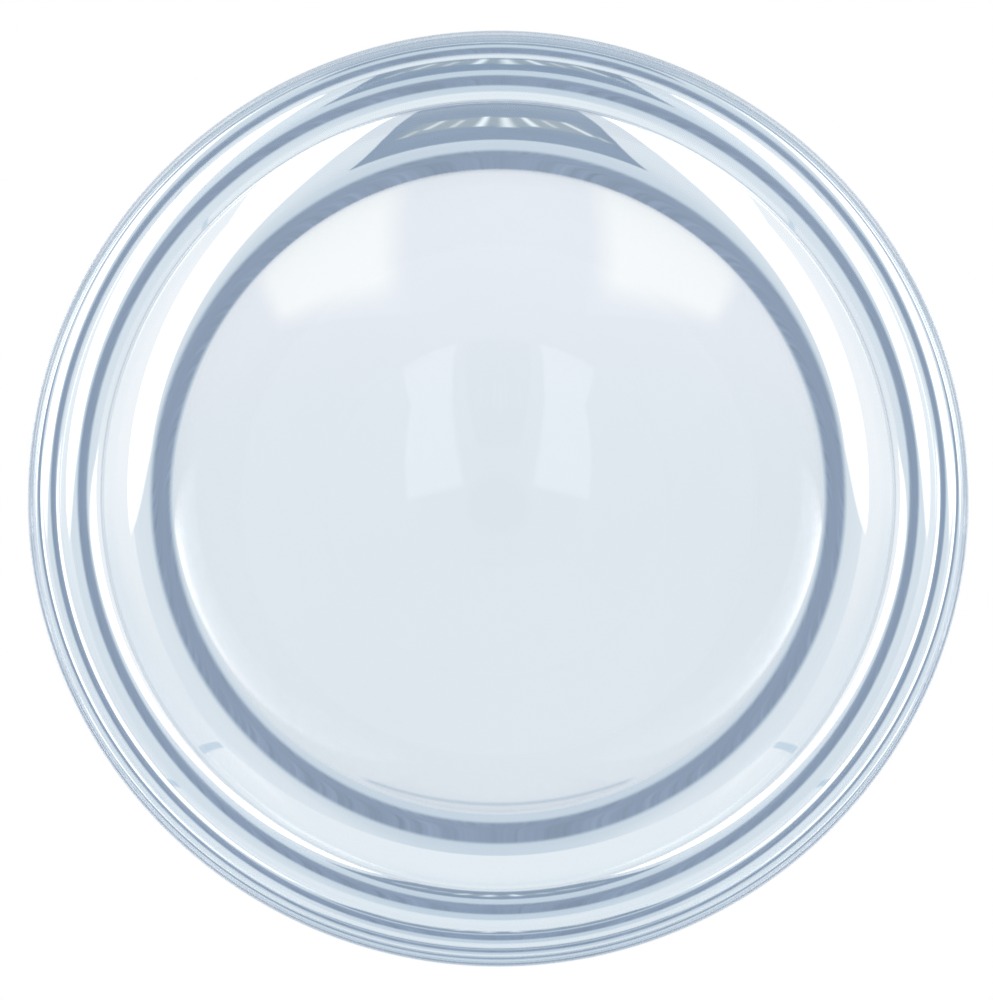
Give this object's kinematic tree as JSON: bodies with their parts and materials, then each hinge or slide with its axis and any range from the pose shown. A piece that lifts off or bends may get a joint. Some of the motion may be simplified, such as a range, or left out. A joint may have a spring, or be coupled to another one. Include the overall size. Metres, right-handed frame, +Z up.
{
  "type": "magnifier paperweight",
  "caption": "Solid clear plano-convex dome that stands on its flat polished face, magnifies the page beneath it and holds the paper down.",
  "frame": {"origin": "the middle of the flat face, on the surface that the dome stands on", "axes": "+Z up along the dome's axis, from the flat face to the crown; X and Y across the flat face"},
  "size_m": [0.08, 0.08, 0.0352],
  "materials": {
    "clear_acrylic": "optically polished all over, clear with a faint cool tint"
  },
  "bodies": {
    "root": {"magnifier_dome": "clear_acrylic"}
  },
  "joints": []
}
